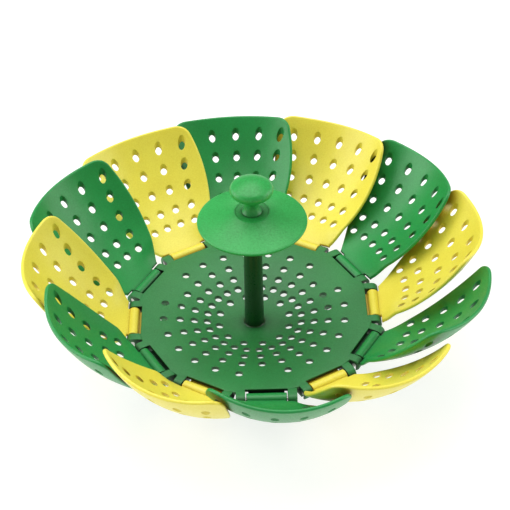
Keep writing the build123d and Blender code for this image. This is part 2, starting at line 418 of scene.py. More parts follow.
def rounded(corners: Sequence[Flat], radii: Sequence[float], step: float = 15.0) -> list[Flat]:
    """Rounds the corners of a straight-sided outline.

    Args:
        corners: The outline's corners in order.
        radii: A radius for each corner, zero for a sharp one.
        step: Degrees between points on a rounding.

    Returns:
        The outline with each corner replaced by points on its rounding.
    """
    points: list[Flat] = []
    for at, radius in enumerate(radii):
        here, before, after = (Vector(corners[i % len(corners)]) for i in (at, at - 1, at + 1))
        if radius == 0:
            points.append(tuple(here))
            continue
        back, on = (before - here).normalized(), (after - here).normalized()
        half = math.acos(max(-1.0, min(1.0, back.dot(on)))) / 2
        centre = here + (back + on).normalized() * radius / math.sin(half)
        start = here + back * radius / math.tan(half) - centre
        end = here + on * radius / math.tan(half) - centre
        first, turn = math.atan2(start.y, start.x), start.angle_signed(end)
        count = max(2, math.ceil(abs(math.degrees(turn)) / step))
        for place in range(count + 1):
            angle = first - turn * place / count
            points.append((centre.x + radius * math.cos(angle), centre.y + radius * math.sin(angle)))
    return points


def dense(points: Sequence[Flat], spacing: float) -> list[Flat]:
    """Adds points along the long sides of a closed outline.

    Args:
        points: The outline's points in order.
        spacing: The longest side to leave.

    Returns:
        The outline with its long sides divided.
    """
    result: list[Flat] = []
    for at, (u, v) in enumerate(points):
        u_next, v_next = points[(at + 1) % len(points)]
        count = max(1, math.ceil(math.hypot(u_next - u, v_next - v) / spacing))
        result += [(u + (u_next - u) * i / count, v + (v_next - v) * i / count) for i in range(count)]
    return result


def circle_through(first: Flat, second: Flat, third: Flat) -> Circle:
    """Finds the circle through three points.

    Args:
        first: One point.
        second: Another point.
        third: The last point.

    Returns:
        The circle's centre and radius.
    """
    a, b, c = Vector(first), Vector(second), Vector(third)
    d = 2 * (a.x * (b.y - c.y) + b.x * (c.y - a.y) + c.x * (a.y - b.y))
    squares = a.length_squared, b.length_squared, c.length_squared
    x = (squares[0] * (b.y - c.y) + squares[1] * (c.y - a.y) + squares[2] * (a.y - b.y)) / d
    y = (squares[0] * (c.x - b.x) + squares[1] * (a.x - c.x) + squares[2] * (b.x - a.x)) / d
    centre = Vector((x, y))
    return centre, (a - centre).length


def inner_touch(first: Circle, second: Circle, radius: float, near: Flat) -> Vector:
    """Finds the centre of a circle that touches two circles from inside.

    Args:
        first: One circle.
        second: The other circle.
        radius: The touching circle's radius.
        near: A point near the wanted one of the two answers.

    Returns:
        The touching circle's centre.
    """
    reach_1, reach_2 = first[1] - radius, second[1] - radius
    between = second[0] - first[0]
    along = (reach_1**2 - reach_2**2 + between.length_squared) / (2 * between.length)
    off = math.sqrt(max(0.0, reach_1**2 - along**2))
    unit = between.normalized()
    normal = Vector((-unit.y, unit.x))
    answers = [first[0] + unit * along + normal * off * side for side in (1, -1)]
    return min(answers, key=lambda answer: (answer - Vector(near)).length)


def touch_point(circle: Circle, centre: Vector) -> Vector:
    """Finds where a circle with that centre touches the circle round it from inside."""
    return circle[0] + (centre - circle[0]).normalized() * circle[1]


def arc_points(circle: Circle, start: Vector, end: Vector, spacing: float = 1.3) -> list[Flat]:
    """Divides the shorter arc between two points of a circle.

    Args:
        circle: The circle's centre and radius.
        start: The arc's first point.
        end: The arc's last point.
        spacing: The longest step along the arc.

    Returns:
        The arc's points, without the last.
    """
    centre, radius = circle
    first, second = start - centre, end - centre
    turn = -first.angle_signed(second)
    count = max(2, math.ceil(abs(turn) * radius / spacing))
    angles = [math.atan2(first.y, first.x) + turn * i / count for i in range(count)]
    return [(centre.x + radius * math.cos(a), centre.y + radius * math.sin(a)) for a in angles]


def without_doubles(points: Sequence[Flat], shortest: float = 0.12) -> list[Flat]:
    """Drops points of a closed outline that lie almost on the one before.

    Args:
        points: The outline's points in order.
        shortest: The shortest side to leave.

    Returns:
        The points that are kept.
    """
    kept: list[Flat] = []
    for point in points:
        if not kept or math.dist(point, kept[-1]) > shortest:
            kept.append(point)
    if math.dist(kept[0], kept[-1]) < shortest:
        kept.pop()
    return kept


@dataclass(frozen=True)
class RoundHole:
    """A round hole in a sheet, by its centre and radius."""

    u: float
    v: float
    radius: float


class MeshMaker:
    """Collects closed shells in millimetres and writes them as one object in metres."""

    def __init__(self) -> None:
        """Starts with nothing in it."""
        self.points: list[Vector] = []
        self.faces: list[tuple[int, ...]] = []

    def point(self, position: Vector) -> int:
        """Adds one point and returns its number."""
        self.points.append(position)
        return len(self.points) - 1

    def band(self, first: Sequence[int], second: Sequence[int]) -> None:
        """Joins two closed rings of points by a band of faces."""
        pairs = [(i, (i + 1) % len(first)) for i in range(len(first))]
        self.faces += [(first[i], first[k], second[k], second[i]) for i, k in pairs]

    def turned(self, profile: Sequence[Flat], place: Place, segments: int = 96) -> None:
        """Adds a turned solid.

        Args:
            profile: Radius and height of each point of the section, which starts and ends on the
                axis or goes round a ring.
            place: Puts cosine times radius, sine times radius and height into the row frame.
            segments: How many sides the solid has.
        """
        angles = [2 * math.pi * i / segments for i in range(segments)]
        ways = [(math.cos(angle), math.sin(angle)) for angle in angles]
        rings: list[list[int]] = []
        for radius, height in profile:
            if radius < TINY:
                rings.append([self.point(place(0.0, 0.0, height))])
            else:
                rings.append([self.point(place(radius * x, radius * y, height)) for x, y in ways])
        pairs = list(zip(rings, rings[1:]))
        if len(rings[0]) > 1 and len(rings[-1]) > 1:
            pairs.append((rings[-1], rings[0]))
        for first, second in pairs:
            if len(first) == 1 and len(second) == 1:
                continue
            if len(first) == 1:
                self.faces += [(first[0], second[i], second[(i + 1) % segments]) for i in range(segments)]
            elif len(second) == 1:
                self.faces += [(second[0], first[(i + 1) % segments], first[i]) for i in range(segments)]
            else:
                self.band(first, second)

    def build(self, name: str, turn: float = 0.0, lift: Matrix | None = None) -> bpy.types.Object:
        """Writes the object.

        Args:
            name: The object's name.
            turn: Degrees to turn it about the post.
            lift: A swing about its hinge that comes before the turn, in millimetres.

        Returns:
            The object, smooth shaded, at the origin of the row frame.
        """
        mesh = bpy.data.meshes.new(name)
        places = [lift @ p for p in self.points] if lift else self.points
        mesh.from_pydata([tuple(p * MM) for p in places], [], self.faces)
        shell = bmesh.new()
        shell.from_mesh(mesh)
        bmesh.ops.recalc_face_normals(shell, faces=shell.faces)
        shell.to_mesh(mesh)
        shell.free()
        mesh.transform(Matrix.Rotation(math.radians(turn), 4, "Z"))
        mesh.shade_smooth()
        piece = bpy.data.objects.new(name, mesh)
        bpy.context.scene.collection.objects.link(piece)
        even = piece.modifiers.new("even_shading", "WEIGHTED_NORMAL")
        even.weight = LARGE_FACE_WEIGHT
        return piece


@dataclass
class Sheet:
    """A sheet of even thickness with rounded rims, pierced by upright round holes with softened lips.

    Attributes:
        outline: The rim's points, anticlockwise in the sheet's own two coordinates.
        place: Puts the two coordinates and a depth below the upper face into the row frame.
        thickness: From the upper face to the lower.
        rim_round: Radius on the rim's edges.
        holes: The holes through it, by the place of each middle on the upper face.
        lip_round: Radius on the holes' edges.
        spacing: Distance between the points inside the sheet.
        steps: How many faces each rounding of the rim has.
        lip_steps: How many faces each rounding of a hole has.
        hole_sides: How many sides a hole has.
        row_share: Distance between the rows of points inside, as a share of the spacing.
        edge_share: How far those points keep off the edges, as a share of the spacing.
        sharpest: How far a rounding is drawn out at a sharp corner, at most, as one over this.
        probe: Step for finding the sheet's slope.
    """

    outline: Sequence[Flat]
    place: Place
    thickness: float
    rim_round: float
    holes: Sequence[RoundHole] = ()
    lip_round: float = 0.25
    spacing: float = 2.5
    steps: int = 4
    lip_steps: int = 2
    hole_sides: int = 28
    row_share: float = 0.87
    edge_share: float = 0.5
    sharpest: float = 0.6
    probe: float = 0.01

    def add_to(self, maker: MeshMaker) -> None:
        """Adds the sheet's closed shell.

        Args:
            maker: The mesh to add to.
        """
        outline = list(self.outline)
        loops = [self._rounding(maker, (outline, outline), self._inward(), self.rim_round, self.steps)]
        for hole in self.holes:
            mouths = self._mouth(hole, 0.0), self._mouth(hole, self.thickness)
            ways = self._outward(mouths[0])
            loops.append(self._rounding(maker, mouths, ways, self.lip_round, self.lip_steps))
        for side, depth in enumerate((0.0, self.thickness)):
            self._fill(maker, [(flats[side], numbers[side]) for flats, numbers in loops], depth)

    def _fill(self, maker: MeshMaker, loops: Sequence[tuple[list[Flat], list[int]]], depth: float) -> None:
        """Covers one face of the sheet, from its rim to its holes.

        Args:
            maker: The mesh to add to.
            loops: The rim and each hole as flat points and their numbers.
            depth: The face's depth below the upper one.
        """
        flats: list[Flat] = []
        numbers: list[int] = []
        edges: list[tuple[int, int]] = []
        for flat, known in loops:
            start = len(flats)
            edges += [(start + i, start + (i + 1) % len(flat)) for i in range(len(flat))]
            flats += flat
            numbers += known
        ends = np.array(flats)[np.array(edges)]
        for u, v in self._inside_points(np.array(flats), ends):
            flats.append((u, v))
            numbers.append(maker.point(self.place(u, v, depth)))
        _, _, triangles, origins, _, _ = delaunay_2d_cdt([Vector(f) for f in flats], edges, [], 0, TINY)
        faces = np.array([[origins[i][0] for i in triangle] for triangle in triangles])
        middles = np.array(flats)[faces].mean(axis=1)
        for keep, (a, b, c) in zip(self._inside(middles, ends), faces):
            if keep:
                maker.faces.append((numbers[a], numbers[b], numbers[c]))

    def _mouth(self, hole: RoundHole, depth: float) -> list[Flat]:
        """Finds where an upright round hole meets the sheet.

        Args:
            hole: The hole.
            depth: The depth below the upper face at which it is met.

        Returns:
            The points of the hole's edge there, in the sheet's own coordinates.
        """
        middle = self.place(hole.u, hole.v, 0.0).xy
        mouth = []
        for side in range(self.hole_sides):
            angle = 2 * math.pi * side / self.hole_sides
            u, v = hole.u + hole.radius * math.cos(angle), hole.v + hole.radius * math.sin(angle)
            way = (self.place(u, v, 0.0).xy - middle).normalized()
            mouth.append(self._flat_spot((u, v), middle + way * hole.radius, depth))
        return mouth

    def _flat_spot(self, guess: Flat, target: Vector, depth: float) -> Flat:
        """Finds the sheet's coordinates straight above or below a place on the floor.

        Args:
            guess: Coordinates near the wanted ones.
            target: The place on the floor.
            depth: The depth below the sheet's upper face.

        Returns:
            The sheet's coordinates, after four steps of Newton's method.
        """
        u, v = guess
        for _ in range(4):
            here = self.place(u, v, depth).xy
            along = (self.place(u + self.probe, v, depth).xy - here) / self.probe
            across = (self.place(u, v + self.probe, depth).xy - here) / self.probe
            miss = target - here
            spread = along.x * across.y - along.y * across.x
            u += (miss.x * across.y - miss.y * across.x) / spread
            v += (along.x * miss.y - along.y * miss.x) / spread
        return u, v

    @staticmethod
    def _outward(mouth: Sequence[Flat]) -> list[Flat]:
        """Finds the way into the sheet at each point of a hole's mouth.

        Args:
            mouth: The mouth's points in order.

        Returns:
            A way of unit length for each point.
        """
        ways = []
        for at in range(len(mouth)):
            run = Vector(mouth[(at + 1) % len(mouth)]) - Vector(mouth[at - 1])
            ways.append(tuple(Vector((run.y, -run.x)).normalized()))
        middle = np.mean(mouth, axis=0)
        if (Vector(mouth[0]) - Vector(middle)).dot(Vector(ways[0])) < 0:
            ways = [(-u, -v) for u, v in ways]
        return ways

    def _inward(self) -> list[Flat]:
        """Finds the way into the sheet at each point of the rim.

        Returns:
            A way for each point, longer than one at a sharp corner.
        """
        ways = []
        count = len(self.outline)
        for at in range(count):
            before, here, after = (Vector(self.outline[i % count]) for i in (at - 1, at, at + 1))
            first, second = (here - before).normalized(), (after - here).normalized()
            normals = Vector((-first.y, first.x)), Vector((-second.y, second.x))
            way = (normals[0] + normals[1]).normalized()
            ways.append(tuple(way / max(self.sharpest, way.dot(normals[0]))))
        return ways

    def _rounding(
        self,
        maker: MeshMaker,
        edges: tuple[Sequence[Flat], Sequence[Flat]],
        ways: Sequence[Flat],
        radius: float,
        steps: int,
    ) -> tuple[tuple[list[Flat], list[Flat]], tuple[list[int], list[int]]]:
        """Adds the wall and both roundings along one edge.

        Args:
            maker: The mesh to add to.
            edges: The edge's points on the upper and on the lower face.
            ways: The way into the sheet at each point.
            radius: The rounding's radius.
            steps: How many faces the rounding has.

        Returns:
            The flat points where the roundings end, and their numbers, each above and below.
        """
        rings: tuple[list[list[int]], list[list[int]]] = ([], [])
        flats: list[list[Flat]] = [[], []]
        for step in range(steps + 1):
            swing = math.pi / 2 * step / steps
            inset, depth = radius * (1 - math.cos(swing)), radius * (1 - math.sin(swing))
            for side, level in enumerate((depth, self.thickness - depth)):
                spots = zip(edges[side], ways)
                flats[side] = [(u + du * inset, v + dv * inset) for (u, v), (du, dv) in spots]
                rings[side].append([maker.point(self.place(u, v, level)) for u, v in flats[side]])
        maker.band(rings[1][0], rings[0][0])
        for face in rings:
            for first, second in zip(face, face[1:]):
                maker.band(first, second)
        return (flats[0], flats[1]), (rings[0][-1], rings[1][-1])

    @staticmethod
    def _inside(points: np.ndarray, ends: np.ndarray, at_once: int = 500) -> np.ndarray:
        """Says which points lie inside the rim and outside the holes.

        Args:
            points: The points to look at.
            ends: Both ends of every side of the rim and the holes.
            at_once: About how many points to look at together.

        Returns:
            True for each point that lies in the sheet.
        """
        first, second = ends[:, 0], ends[:, 1]
        run = np.where(second[:, 1] == first[:, 1], 1.0, second[:, 1] - first[:, 1])
        found = []
        for part in np.array_split(points, max(1, len(points) // at_once)):
            u, v = part[:, :1], part[:, 1:]
            crosses = (first[:, 1] > v) != (second[:, 1] > v)
            at = first[:, 0] + (v - first[:, 1]) * (second[:, 0] - first[:, 0]) / run
            found.append((crosses & (u < at)).sum(axis=1) % 2 == 1)
        return np.concatenate(found)

    def _inside_points(self, known: np.ndarray, ends: np.ndarray) -> list[Flat]:
        """Fills the sheet with an even grid that keeps off its edges.

        Args:
            known: The points of the rim and the holes.
            ends: Both ends of every side of the rim and the holes.

        Returns:
            The grid's points.
        """
        low, high = known.min(axis=0), known.max(axis=0)
        rows = np.arange(low[1], high[1], self.spacing * self.row_share)
        columns = np.arange(low[0], high[0], self.spacing)
        shifts = (0.0, self.spacing / 2)
        grid = np.array([(u + shifts[row % 2], v) for row, v in enumerate(rows) for u in columns])
        grid = grid[self._inside(grid, ends)]
        gaps = np.array([np.hypot(*(known - point).T).min() for point in grid])
        return [tuple(point) for point in grid[gaps > self.edge_share * self.spacing]]


def finish_piece(
    piece: bpy.types.Object, body: str, nodes: Iterable[str], slot: str, materials: Materials
) -> bpy.types.Object:
    """Dresses a piece and ties it to the frame.

    Args:
        piece: The new object.
        body: The CAD body that it rides on.
        nodes: The CAD nodes that it stands for.
        slot: The record's material slot.
        materials: The materials by slot.

    Returns:
        The piece.
    """
    piece.data.materials.append(materials[slot])
    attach(piece, body)
    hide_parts(*nodes)
    log.info("%s rides on %s and stands for %s", piece.name, body, ", ".join(nodes))
    return piece


def dress_node(name: str, slot: str, materials: Materials) -> None:
    """Gives a CAD node its material.

    Args:
        name: The node's name.
        slot: The record's material slot.
        materials: The materials by slot.
    """
    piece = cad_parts[name]
    piece.data.materials.clear()
    piece.data.materials.append(materials[slot])
    piece.data.shade_smooth()
    log.info("%s keeps its shape and is dressed as %s", name, slot)


def upright(x: float, y: float, z: float) -> Vector:
    """Puts a turned shape on the post's axis."""
    return Vector((x, y, z))


@dataclass
class Hinge:
    """The hinges round the plate, seen with the petal towards +X.

    Attributes:
        wall: Distance from the post's axis to the wall of a notch.
        axis_x: Distance from the post's axis to the pin's.
        axis_z: Height of the pin's axis.
        shift: How far the notch's middle lies to the side.
        notch_width: Width of the notch in the plate.
        end_round: Radius at the barrel's ends.
        mouth_round: Radius at the bore's mouths.
        sides: How many sides the barrel has.
    """

    wall: float = 57.0
    axis_x: float = 61.0
    axis_z: float = 19.0
    shift: float = 4.7
    notch_width: float = 20.4
    barrel_radius: float = 3.0
    barrel_length: float = 19.4
    bore_radius: float = 1.05
    end_round: float = 0.4
    mouth_round: float = 0.15
    sides: int = 40

    def along_axis(self, x: float, y: float, z: float) -> Vector:
        """Puts a turned shape on the hinge's axis, its height along the axis."""
        return Vector((self.axis_x + x, self.shift + z, self.axis_z + y))

    def lift(self, angle: float) -> Matrix:
        """Gives the swing that lifts a petal about its hinge.

        Args:
            angle: Degrees that the petal's tip goes up.

        Returns:
            The swing, in millimetres.
        """
        axis = Vector((self.axis_x, self.shift, self.axis_z))
        swing = Matrix.Rotation(math.radians(-angle), 4, "Y")
        return Matrix.Translation(axis) @ swing @ Matrix.Translation(-axis)

    def barrel(self, maker: MeshMaker) -> None:
        """Adds the petal's barrel, a round sleeve for the pin.

        Args:
            maker: The mesh to add to.
        """
        half = self.barrel_length / 2
        inner, outer = self.bore_radius, self.barrel_radius
        section = [(inner, -half), (outer, -half), (outer, half), (inner, half)]
        radii = [self.mouth_round, self.end_round, self.end_round, self.mouth_round]
        maker.turned(rounded(section, radii), self.along_axis, self.sides)


@dataclass
class Petal:
    """One petal: a double-curved perforated leaf with a barrel and a heel at its root.

    Attributes:
        bend_radius: Radius along the petal, from its root to its tip.
        cup_radius: Radius across the petal.
        start_angle: Rise of the petal where it leaves the hinge, in degrees.
        length: Length along the bend from the hinge to the tip.
        lean_angle: How far the blade is turned about its chord.
        line_shift: How far the blade's middle line lies to the side.
        rise: How far the blade's hollow face starts above the pin's axis.
        fold_angle: Lift of the folded petal from the even open place.
        root_gap: What the folded petal's root keeps above the barrel.
        root_step: Step in which the root's start is searched.
        root_steps: The most steps of that search.
        root_spacing: The longest side of the root's edge.
        flat_root_length: Length over which the cup fades out towards the barrel.
        tongue_inset: How far the tongue stays in from the barrel's ends.
        row_shares: Each row of holes, as a share of the length.
        columns: Each column of holes, by its place from the middle one.
        pitch: Distance between the columns at pitch_place along the petal.
        fan_reach: How far behind the hinge the columns would meet.
        bow_radius: Radius of the rows' bow at the hinge.
        bow_growth: How fast that radius grows along the petal.
        anticlockwise_edge_shares: Three points of that edge, as shares of chord and half width.
        clockwise_edge_shares: Three points of the other edge, in the same way.
        heel_reach: How far the heel reaches in from the pin's axis.
        heel_below: How far its section goes below the axis.
        heel_above: How far its section goes above the axis.
        lowest_rest_angle: Rest angle of the lowest petal, at which the heel lies level.
    """

    hinge: Hinge = field(default_factory=Hinge)
    thickness: float = 1.8
    bend_radius: float = 92.6
    cup_radius: float = 50.8
    start_angle: float = 18.0
    length: float = 71.3
    lean_angle: float = 5.6
    line_shift: float = 7.9
    rise: float = 0.8
    half_width: float = 32.0
    corner_radius: float = 9.0
    rim_round: float = 0.75
    fold_angle: float = 75.0
    root_gap: float = 0.4
    root_step: float = 0.05
    root_steps: int = 400
    root_spacing: float = 1.0
    flat_root_length: float = 15.0
    tongue_inset: float = 0.01
    hole_radius: float = 1.9
    row_shares: tuple[float, ...] = (0.251, 0.372, 0.529, 0.691, 0.857)
    columns: tuple[int, ...] = (-2, -1, 0, 1, 2)
    pitch: float = 10.4
    pitch_place: float = 40.0
    fan_reach: float = 45.0
    bow_radius: float = 34.0
    bow_growth: float = 2.2
    anticlockwise_edge_shares: tuple[Flat, ...] = ((0.03, 0.30), (0.43, 0.84), (0.918, 1.035))
    clockwise_edge_shares: tuple[Flat, ...] = ((0.03, -0.50), (0.49, -0.93), (0.925, -0.92))
    lowest_rest_angle: float = min(REST_ANGLES)
    heel_width: float = 17.4
    heel_reach: float = 5.5
    heel_below: float = 0.8
    heel_above: float = 0.7
    heel_corner: float = 0.35
    heel_round: float = 0.3
    heel_spacing: float = 1.5
    heel_grid: float = 1.0

    def __post_init__(self) -> None:
        """Works out the chord and the bend's centre."""
        sweep = self.length / self.bend_radius
        self.start = math.radians(self.start_angle)
        self.chord_angle = self.start + sweep / 2
        self.chord_length = 2 * self.bend_radius * math.sin(sweep / 2)
        self.chord = Vector((math.cos(self.chord_angle), 0.0, math.sin(self.chord_angle)))
        self.up = Vector((-math.sin(self.start), 0.0, math.cos(self.start)))
        self.root = Vector((self.hinge.axis_x, self.line_shift, self.hinge.axis_z + self.rise))
        self.centre = self.root + self.up * self.bend_radius
        self.lean = Matrix.Rotation(math.radians(-self.lean_angle), 4, self.chord)

    def _bent(self, along: float, across: float, depth: float) -> Vector:
        """Finds a place on the bent, cupped and leaned sheet, before its root is flattened.

        Args:
            along: Length along the bend from the hinge.
            across: Length across from the petal's middle line.
            depth: Depth below the hollow face.

        Returns:
            The place in the row frame.
        """
        bend, swing = self.start + along / self.bend_radius, across / self.cup_radius
        outward = Vector((math.sin(bend), 0.0, -math.cos(bend)))
        cup = self.centre + outward * (self.bend_radius - self.cup_radius)
        way = outward * math.cos(swing) + Vector((0.0, math.sin(swing), 0.0))
        return self.root + (self.lean @ (cup + way * (self.cup_radius + depth) - self.root))

    def place(self, along: float, across: float, depth: float) -> Vector:
        """Puts a place on the petal into the row frame.

        Args:
            along: Length along the bend from the hinge.
            across: Length across from the petal's middle line.
            depth: Depth below the hollow face.

        Returns:
            The place, with the root brought down to a straight line along the barrel.
        """
        point = self._bent(along, across, depth)
        share = min(1.0, max(0.0, along / self.flat_root_length))
        weight = (1 - share) ** 2 * (1 + 2 * share)
        if weight > 0:
            lift = (self._bent(0.0, across, 0.0) - self.root).dot(self.up)
            point -= self.up * lift * weight
        return point

    def _sheet_spot(self, x: float, y: float) -> Flat:
        """Turns a place in the chord's plane into lengths along and across the sheet.

        Args:
            x: Distance along the chord from the root.
            y: Distance across it.

        Returns:
            The lengths along and across.
        """
        middle = self.cup_radius + self.thickness / 2
        swing = math.asin(y / middle)
        reach = self.bend_radius - self.cup_radius + middle * math.cos(swing)
        behind = (self.centre - self.root).dot(self.chord)
        bend = self.chord_angle + math.asin((x - behind) / reach)
        return (bend - self.start) * self.bend_radius, swing * self.cup_radius

    def _root_along(self, across: float) -> float:
        """Finds where the root has to start so that the folded petal clears the plate.

        Args:
            across: Length across from the petal's middle line.

        Returns:
            The least length along the bend at which both faces keep the gap.
        """
        fold = math.radians(self.fold_angle)
        least = self.hinge.barrel_radius + self.root_gap
        for step in range(self.root_steps):
            along = step * self.root_step
            faces = [self.place(along, across, depth) for depth in (0.0, self.thickness)]
            offsets = [(face.x - self.hinge.axis_x, face.z - self.hinge.axis_z) for face in faces]
            if min(out * math.sin(fold) + up * math.cos(fold) for out, up in offsets) >= least:
                return along
        return self.root_steps * self.root_step

    def _blade_edge(self) -> list[Flat]:
        """Draws the blade's edge in the chord's plane.

        Returns:
            The edge's points, from the clockwise root round the tip to the other root.
        """
        right_points, left_points = (
            [(along * self.chord_length, across * self.half_width) for along, across in shares]
            for shares in (self.clockwise_edge_shares, self.anticlockwise_edge_shares)
        )
        right, left = circle_through(*right_points), circle_through(*left_points)
        tip = circle_through(right_points[-1], (self.chord_length, 0.0), left_points[-1])
        first = inner_touch(right, tip, self.corner_radius, right_points[-1])
        second = inner_touch(tip, left, self.corner_radius, left_points[-1])
        stretches = (
            (right, Vector(right_points[0]), touch_point(right, first)),
            ((first, self.corner_radius), touch_point(right, first), touch_point(tip, first)),
            (tip, touch_point(tip, first), touch_point(tip, second)),
            ((second, self.corner_radius), touch_point(tip, second), touch_point(left, second)),
            (left, touch_point(left, second), Vector(left_points[0])),
        )
        return [point for circle, start, end in stretches for point in arc_points(circle, start, end)]

    def _root_line(self, start: float, end: float) -> list[Flat]:
        """Draws the root's edge between two places across the petal.

        Args:
            start: Where it starts, across from the middle line.
            end: Where it ends.

        Returns:
            The edge's points as lengths along and across.
        """
        count = max(2, math.ceil(abs(end - start) / self.root_spacing))
        places = [start + (end - start) * i / count for i in range(count + 1)]
        return [(self._root_along(place), place) for place in places]

    def outline(self) -> list[Flat]:
        """Draws the petal's rim, with the tongue that runs into the barrel.

        Returns:
            The rim's points as lengths along and across.
        """
        edge = [self._sheet_spot(x, y) for x, y in self._blade_edge()]
        edge = [(a, b) for a, b in edge if a > self._root_along(b) + self.root_step]
        middle, half = self.hinge.shift - self.line_shift, self.hinge.barrel_length / 2
        high, low = middle + half, middle - half
        tongue = [(0.0, high - self.tongue_inset), (0.0, low + self.tongue_inset)]
        root = self._root_line(edge[-1][1], high) + tongue + self._root_line(low, edge[0][1])
        return without_doubles(edge + root)

    def holes(self) -> list[RoundHole]:
        """Lays out the steam holes on fanned columns and bowed rows.

        Returns:
            The holes, row by row.
        """
        found = []
        for share in self.row_shares:
            row = share * self.length
            pitch = self.pitch * (row + self.fan_reach) / (self.pitch_place + self.fan_reach)
            bow = self.bow_radius + self.bow_growth * row
            for column in self.columns:
                across = column * pitch
                found.append(RoundHole(row - across**2 / (2 * bow), across, self.hole_radius))
        return found

    def heel(self, maker: MeshMaker) -> None:
        """Adds the stop that catches under the plate when the petal is open.

        Args:
            maker: The mesh to add to.
        """
        back, low, high = -self.heel_reach, -self.heel_below, self.heel_above
        section = [(back, low), (0.0, low), (0.0, high), (back, high)]
        section = rounded(section, [self.heel_corner, 0.0, 0.0, self.heel_corner])
        lift = self.hinge.lift(-self.lowest_rest_angle)
        side = self.hinge.shift - self.heel_width / 2

        def place(u: float, v: float, depth: float) -> Vector:
            """Puts the heel's section under the notch's wall."""
            return lift @ Vector((self.hinge.axis_x + u, side + depth, self.hinge.axis_z + v))

        outline = dense(section, self.heel_spacing)
        heel = Sheet(outline, place, self.heel_width, self.heel_round, spacing=self.heel_grid, steps=2)
        heel.add_to(maker)

    def make(self) -> MeshMaker:
        """Makes the petal towards +X.

        Returns:
            The mesh of the leaf, its barrel and its heel.
        """
        maker = MeshMaker()
        Sheet(self.outline(), self.place, self.thickness, self.rim_round, self.holes()).add_to(maker)
        self.hinge.barrel(maker)
        self.heel(maker)
        return maker

    def dress_all(self, materials: Materials) -> None:
        """Builds the petals round the plate and dresses them and their pins.

        Args:
            materials: The materials by slot.
        """
        leaf = self.make()
        for place, rest_angle in enumerate(REST_ANGLES):
            number = f"{place + 1:02d}"
            node = f"petal_{number}"
            slot = Tint.PETAL_YELLOW.value if place % 2 else Tint.PETAL_GREEN.value
            turn = BACK_ANGLE - PITCH_ANGLE * place
            piece = leaf.build(f"leaf_{number}", turn, self.hinge.lift(rest_angle))
            finish_piece(piece, node, [node], slot, materials)
            dress_node(f"hinge_pin_{number}", "steel", materials)


